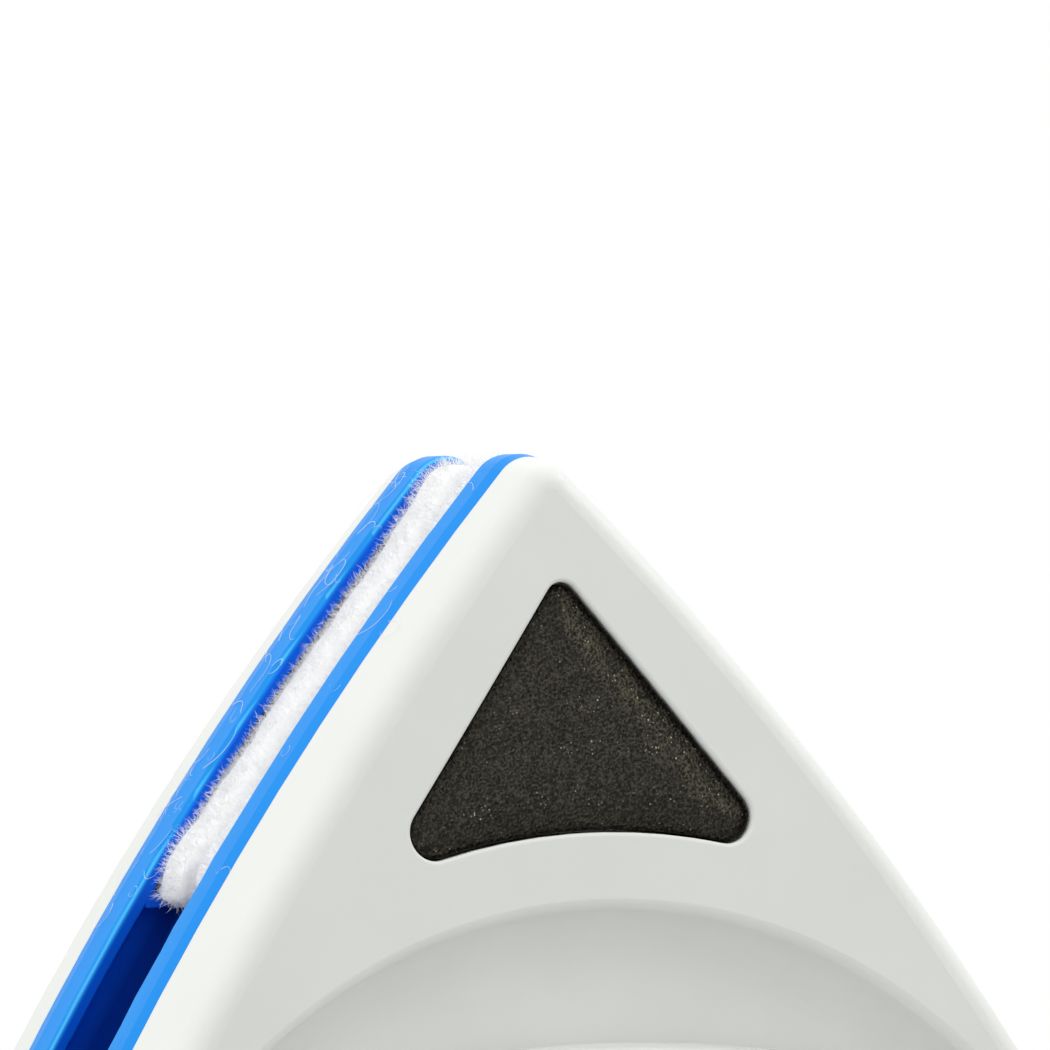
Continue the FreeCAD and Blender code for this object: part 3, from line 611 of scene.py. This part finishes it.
def scatter_tree(name):
    """Scatters a collection over a mesh: most on faces that look away from the centre."""
    facing_gain, facing_start, fewest = 2.0, 0.55, 0.08
    thinning_on_flats = 0.85
    smallest, largest = 0.4, 1.15
    group = bpy.data.node_groups.new(name, "GeometryNodeTree")
    for socket, kind in (("Geometry", "Geometry"), ("Fibres", "Collection"), ("Density", "Float"),
                         ("Centre", "Vector"), ("Lean", "Float"), ("Keep base", "Bool"),
                         ("Seed", "Int"), ("Material", "Material")):
        group.interface.new_socket(socket, in_out="INPUT", socket_type="NodeSocket" + kind)
    group.interface.new_socket("Geometry", in_out="OUTPUT", socket_type="NodeSocketGeometry")
    tree = Tree(group)
    given = tree.add("NodeGroupInput").outputs
    normal = tree.add("GeometryNodeInputNormal").outputs[0]
    reach = tree.add("ShaderNodeVectorMath", {0: tree.add("GeometryNodeInputPosition").outputs[0],
                                              1: given["Centre"]}, operation="SUBTRACT")
    outward = tree.add("ShaderNodeVectorMath", {0: reach.outputs[0]}, operation="NORMALIZE")
    facing = tree.add("ShaderNodeVectorMath", {0: outward.outputs[0], 1: normal},
                      operation="DOT_PRODUCT").outputs["Value"]
    outer = tree.add("ShaderNodeClamp", {
        "Value": tree.math("MULTIPLY_ADD", facing, facing_gain, facing_start),
        "Min": fewest, "Max": 1.0})
    flatness = tree.math("ABSOLUTE", tree.add("ShaderNodeSeparateXYZ",
                                              {"Vector": normal}).outputs["Y"])
    flank = tree.math("SUBTRACT", 1.0, tree.math("MULTIPLY", flatness, thinning_on_flats))
    density = tree.math("MULTIPLY", tree.math("MULTIPLY", outer.outputs[0], flank),
                        given["Density"])
    points = tree.add("GeometryNodeDistributePointsOnFaces",
                      {"Mesh": given["Geometry"], "Density": tree.math("DIVIDE", density, MM * MM),
                       "Seed": given["Seed"]})
    fibres = tree.add("GeometryNodeCollectionInfo",
                      {"Collection": given["Fibres"], "Separate Children": True,
                       "Reset Children": True})
    lean = tree.add("ShaderNodeCombineXYZ",
                    {"X": given["Lean"], "Y": given["Lean"], "Z": math.pi})
    spin = tree.add("FunctionNodeRandomValue", {"Seed": given["Seed"]},
                    data_type="FLOAT_VECTOR")
    tree.feed(spin.inputs[0], (-1.0, -1.0, -1.0))
    tree.feed(spin.inputs[1], (1.0, 1.0, 1.0))
    tilted = tree.add("ShaderNodeVectorMath", {0: spin.outputs[0], 1: lean.outputs[0]},
                      operation="MULTIPLY")
    turned = tree.add("FunctionNodeRotateRotation", {0: points.outputs["Rotation"]},
                      rotation_space="LOCAL")
    tree.feed(turned.inputs[1],
              tree.add("FunctionNodeEulerToRotation", {0: tilted.outputs[0]}))
    size = tree.add("FunctionNodeRandomValue", {"Seed": given["Seed"]}, data_type="FLOAT")
    tree.feed(size.inputs[2], smallest)
    tree.feed(size.inputs[3], largest)
    planted = tree.add("GeometryNodeInstanceOnPoints",
                       {"Points": points.outputs["Points"], "Instance": fibres.outputs[0],
                        "Pick Instance": True, "Rotation": turned, "Scale": size.outputs[1]})
    grown = tree.add("GeometryNodeRealizeInstances", {"Geometry": planted})
    base = tree.add("GeometryNodeSwitch",
                    {"Switch": given["Keep base"], "True": given["Geometry"]},
                    input_type="GEOMETRY")
    whole = tree.add("GeometryNodeJoinGeometry")
    tree.feed(whole.inputs[0], base.outputs[0])
    tree.feed(whole.inputs[0], grown.outputs[0])
    dressed = tree.add("GeometryNodeSetMaterial",
                       {"Geometry": whole, "Material": given["Material"]})
    tree.add("NodeGroupOutput", {"Geometry": dressed})
    return group


def scattered(mesh, strands, **inputs):
    """The mesh with copies of the strands scattered over it."""
    fibres = bpy.data.collections.new("fibres")
    for index, single in enumerate(strands):
        fibres.objects.link(bpy.data.objects.new(f"fibre_{index}", single))
    group = scatter_tree("fibre_scatter")
    work = solid_from(mesh, "scatter_work")
    grow = work.modifiers.new("Fibres", "NODES")
    grow.node_group = group
    inputs["fibres"] = fibres
    for item in group.interface.items_tree:
        key = item.name.lower().replace(" ", "_")
        if item.in_out == "INPUT" and key in inputs:
            grow[item.identifier] = inputs[key]
    grown = applied(work)
    for single in list(fibres.objects):
        bpy.data.objects.remove(single)
    bpy.data.collections.remove(fibres)
    return grown


# ---------------------------------------------------------------- operators

class CleanerOperator:
    """What every step shares."""
    bl_options = {"REGISTER", "UNDO"}


class CLEANER_OT_stage(CleanerOperator, bpy.types.Operator):
    """Floor, lights and camera"""
    bl_idname = "cleaner.stage"
    bl_label = "Studio"

    # name: place, size and watts
    panels = {"left_panel": ((-0.85, 0.0, 0.45), 0.6, 1.6),
              "right_panel": ((0.70, -0.04, 0.60), 0.2, 1.9),
              "top_panel": ((-0.1, -0.1, 1.0), 0.6, 1.0)}

    def execute(self, context):
        stage = context.scene.cleaner_stage
        self.floor(stage)
        self.world(context)
        for name, (place, size, energy) in self.panels.items():
            self.panel(name, place, size, energy)
        self.camera(context, stage)
        context.scene.view_settings.view_transform = "Standard"
        return {"FINISHED"}

    def floor(self, stage):
        work = bmesh.new()
        bmesh.ops.create_circle(work, cap_ends=True, segments=96, radius=1.5)
        mesh = bpy.data.meshes.new("floor")
        work.to_mesh(mesh)
        work.free()
        mesh.materials.append(moulded("floor_paint", tuple(stage.floor), 0.5 * MM, (0.7, 0.8),
                                      spread=0.004))
        solid_from(mesh, "floor")

    def world(self, context):
        """A white sky, brightest overhead, that looks plain white behind the object."""
        world = bpy.data.worlds.new("studio")
        context.scene.world = world
        world.use_nodes = True
        world.node_tree.nodes.clear()
        tree = Tree(world.node_tree)
        upward = tree.add("ShaderNodeSeparateXYZ",
                          {"Vector": tree.add("ShaderNodeTexCoord").outputs["Generated"]})
        sky = tree.add("ShaderNodeMapRange", {"Value": upward.outputs["Z"], "From Min": -0.1,
                                              "From Max": 0.9, "To Min": 0.83, "To Max": 1.20})
        seen = tree.add("ShaderNodeLightPath").outputs["Is Camera Ray"]
        strength = tree.add("ShaderNodeMix", {"Factor": seen}, data_type="FLOAT")
        tree.feed(strength.inputs[2], sky)
        tree.feed(strength.inputs[3], 1.0)
        light = tree.add("ShaderNodeBackground", {"Color": (1, 1, 1, 1), "Strength": strength})
        tree.add("ShaderNodeOutputWorld", {"Surface": light})

    def panel(self, name, place, size, energy):
        """A square soft light that faces the middle of the object."""
        light = bpy.data.lights.new(name, "AREA")
        light.shape = "SQUARE"
        light.size = size
        light.energy = energy
        panel = bpy.data.objects.new(name, light)
        panel.location = place
        panel.rotation_euler = (AXIS - panel.location).to_track_quat("-Z", "Y").to_euler()
        bpy.context.scene.collection.objects.link(panel)

    def camera(self, context, stage):
        bearing, rise, roll = map(math.radians, (stage.azimuth, stage.elevation, stage.roll))
        back = Vector((math.sin(bearing) * math.cos(rise), -math.cos(bearing) * math.cos(rise),
                       math.sin(rise)))
        level = Vector((math.cos(bearing), math.sin(bearing), 0))
        upright = back.cross(level)
        right = level * math.cos(roll) - upright * math.sin(roll)
        up = level * math.sin(roll) + upright * math.cos(roll)
        aim = AXIS + (right * stage.aim_right + up * stage.aim_up) * SIDE_REACH
        lens = bpy.data.cameras.new("camera")
        lens.sensor_width = 36
        lens.lens = lens.sensor_width * stage.distance / stage.width
        lens.clip_end = 20
        camera = bpy.data.objects.new("camera", lens)
        camera.matrix_world = Matrix.Translation(aim + back * stage.distance) @ Matrix(
            (right, up, back)).transposed().to_4x4()
        context.scene.collection.objects.link(camera)
        context.scene.camera = camera


class CLEANER_OT_shells(CleanerOperator, bpy.types.Operator):
    """White shells and polished grips"""
    bl_idname = "cleaner.shells"
    bl_label = "Shells and grips"

    def execute(self, context):
        plastic = context.scene.cleaner_plastic
        satin, polished = (0.42, 0.52), (0.14, 0.2)
        paint(of_both("shell"), moulded("shell_plastic", tuple(plastic.shell), plastic.grain,
                                        satin, specular=0.18))
        paint(of_both("grip"), moulded("grip_plastic", tuple(plastic.grip), plastic.grain,
                                       polished, coat=0.4))
        return {"FINISHED"}


class CLEANER_OT_frames(CleanerOperator, bpy.types.Operator):
    """Blue frames and rubber blades"""
    bl_idname = "cleaner.frames"
    bl_label = "Frames and blades"

    def execute(self, context):
        plastic = context.scene.cleaner_plastic
        paint(of_both("frame"), rim_plastic(plastic))
        paint(of_both("blade_lower", "blade_left", "blade_right"), blade_rubber(plastic))
        return {"FINISHED"}


class CLEANER_OT_inner_works(CleanerOperator, bpy.types.Operator):
    """Magnets, trays, yokes and screws"""
    bl_idname = "cleaner.inner_works"
    bl_label = "Inner works"

    def execute(self, context):
        paint(of_both("magnet_top", "magnet_left", "magnet_right"),
              plated("nickel_plate", (0.62, 0.60, 0.55), roughness=0.16, streak=1.0))
        paint(of_both("yoke_plate"),
              plated("zinc_sheet", (0.5, 0.52, 0.54), roughness=0.38, streak=0.05))
        paint(of_both("shell_screws", "grip_screws"),
              plated("zinc_screw", (0.55, 0.56, 0.58), roughness=0.3, streak=1.0))
        paint(of_both("magnet_tray"),
              moulded("tray_plastic", (0.03, 0.03, 0.033), 0.3 * MM, (0.5, 0.6), spread=0.1))
        return {"FINISHED"}


class CLEANER_OT_wool_pads(CleanerOperator, bpy.types.Operator):
    """Puffed wool pads with a pile of fibres"""
    bl_idname = "cleaner.wool_pads"
    bl_label = "Wool pads"

    def execute(self, context):
        wool = context.scene.cleaner_wool
        finish = wool_pile(wool)
        pad = remeshed(welded_copy("front_wool_pad_top"), wool.voxel)
        pad = puffed(pad, wool.swell)
        pad = subdivided(pad, 1)
        pad.shade_smooth()
        self.spread_over_rim(pad, wool)
        swells, tufts = 3.2 * MM, 0.9 * MM
        lumped(pad, swells, 2.2 * wool.lump, wool.seed)
        lumped(pad, tufts, wool.lump, wool.seed)
        pad = scattered(pad, pile_strands(wool, random.Random(wool.seed)), density=wool.density,
                        centre=AXIS, lean=0.7, keep_base=True, seed=wool.seed, material=finish)
        set_at_corners(pad, "wool_pad", finish)
        self.strays(wool, finish)
        return {"FINISHED"}

    def spread_over_rim(self, mesh, wool):
        """Fills the recess, and widens and lifts the part of the pad that stands above the rim."""
        level = Vector((1, 0, 1))
        below_land, rise = 0.3 * MM, 0.9 * MM
        tip_base, tip_height = rim_high.z - 8 * MM, 6 * MM
        moves = []
        for vertex in mesh.vertices:
            above = share(vertex.co.y + LAND + below_land, rise)
            tip = share(vertex.co.z - tip_base, tip_height)
            downward = max(0.0, -vertex.normal.z)
            corner = 2 * downward * abs(vertex.normal.x)
            reach = wool.spread * (0.5 + 0.5 * above) + wool.heel * corner
            drop = wool.heel * downward * (0.3 + 0.5 * above)
            moves.append(vertex.normal * level * reach
                         + Vector((0, 0, wool.tip * tip * above - drop)))
        for vertex, move in zip(mesh.vertices, moves):
            vertex.co += move
        mesh.update()

    def strays(self, wool, finish):
        """Fibres shed by the pads, lying on the outside of both rims beside them."""
        rim = welded_copy("front_frame")
        pad_low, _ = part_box("front_wool_pad_top")
        most_tilt, most_upward, least_reach = 0.3, 0.72, 0.5 * SIDE_REACH

        def on_outer_wall(face):
            centre = face.calc_center_median()
            return (abs(face.normal.y) <= most_tilt and abs(face.normal.z) <= most_upward
                    and centre.z >= pad_low.z
                    and face.normal.dot(centre - AXIS) >= least_reach)

        work = bmesh.new()
        work.from_mesh(rim)
        elsewhere = [face for face in work.faces if not on_outer_wall(face)]
        bmesh.ops.delete(work, geom=elsewhere, context="FACES")
        work.to_mesh(rim)
        work.free()
        for half, density in zip(HALVES, (wool.front_strays, wool.rear_strays)):
            loose = scattered(rim.copy(), stray_strands(wool, random.Random(wool.seed + 1)),
                              density=density, centre=AXIS, lean=0.0, keep_base=False,
                              seed=wool.seed, material=finish)
            work = bmesh.new()
            for turn in TURNS.values():
                copy = loose.copy()
                copy.transform(corner_place(half, turn))
                work.from_mesh(copy)
            mesh = bpy.data.meshes.new(f"{half}_stray_fibres")
            work.to_mesh(mesh)
            work.free()
            mesh.materials.append(finish)
            piece = solid_from(mesh, f"{half}_stray_fibres")
            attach(piece, f"{half}_half")


class CLEANER_OT_foam_inserts(CleanerOperator, bpy.types.Operator):
    """Open black foam let into the shells"""
    bl_idname = "cleaner.foam_inserts"
    bl_label = "Foam inserts"

    def execute(self, context):
        foam = context.scene.cleaner_foam
        insert = remeshed(welded_copy("front_foam_top"), foam.voxel)
        self.crowned(insert, foam)
        self.open_cells(insert, foam)
        set_at_corners(insert, "foam", speckled_foam(foam))
        return {"FINISHED"}

    def crowned(self, mesh, foam):
        """Sinks the edge of the outer face in a soft round, and marks the upper right shoulder for
        a painted highlight.
        """
        flat = Vector((1, 0, 1))
        sides = [v.co * flat for v in mesh.vertices if abs(v.normal.y) < 0.5]
        nearest = KDTree(len(sides))
        for index, point in enumerate(sides):
            nearest.insert(point, index)
        nearest.balance()
        lit_shoulder = mesh.attributes.new("lit_shoulder", "FLOAT", "POINT")
        # The painted highlight peaks halfway across the shoulder, and only on the side that faces
        # up and right, towards the light.
        lit_side = Vector((0.79, 0, 0.61))
        face = [v for v in mesh.vertices if v.normal.y < -0.5]
        sunk = []
        for vertex in face:
            edge, _, distance = nearest.find(vertex.co * flat)
            inside = min(1.0, distance / foam.shoulder)
            sunk.append(foam.crown * (1 - inside) ** 2)
            outward = (edge - vertex.co * flat).normalized()
            facing = max(0.0, outward.dot(lit_side)) ** 3
            lit_shoulder.data[vertex.index].value = 4 * inside * (1 - inside) * facing
        for vertex, drop in zip(face, sunk):
            vertex.co.y += drop
        mesh.update()

    def open_cells(self, mesh, foam):
        """Sinks a dimple at each cell and keeps the height as an attribute, which the finish turns
        into painted shade down in the cells.
        """
        wall_slope, wall_top = 1.6, 0.9
        normals = [v.normal.copy() for v in mesh.vertices]
        wall = mesh.attributes.new("wall", "FLOAT", "POINT")
        for index, (vertex, normal) in enumerate(zip(mesh.vertices, normals)):
            distances, _ = noise.voronoi(vertex.co / foam.cell)
            height = 1 - min(1.0, (distances[1] - distances[0]) * wall_slope)
            wall.data[index].value = height
            vertex.co += normal * foam.depth * (height - wall_top)
        mesh.update()


OPERATORS = (CLEANER_OT_stage, CLEANER_OT_shells, CLEANER_OT_frames, CLEANER_OT_inner_works,
             CLEANER_OT_wool_pads, CLEANER_OT_foam_inserts)


class CLEANER_PT_panel(bpy.types.Panel):
    """Lists the steps that dress the cleaner"""
    bl_label = "Glass cleaner"
    bl_space_type = "VIEW_3D"
    bl_region_type = "UI"
    bl_category = "Cleaner"

    def draw(self, context):
        for operator in OPERATORS:
            self.layout.operator(operator.bl_idname)


def register():
    for group in GROUPS.values():
        bpy.utils.register_class(group)
    for name, group in GROUPS.items():
        setattr(bpy.types.Scene, name, PointerProperty(type=group))
    for operator in OPERATORS:
        bpy.utils.register_class(operator)
    bpy.utils.register_class(CLEANER_PT_panel)


def unregister():
    bpy.utils.unregister_class(CLEANER_PT_panel)
    for operator in reversed(OPERATORS):
        bpy.utils.unregister_class(operator)
    for name in GROUPS:
        delattr(bpy.types.Scene, name)
    for group in GROUPS.values():
        bpy.utils.unregister_class(group)


def main():
    register()
    for step in ("stage", "shells", "frames", "inner_works", "wool_pads", "foam_inserts"):
        getattr(bpy.ops.cleaner, step)()


if __name__ == "__main__":
    main()
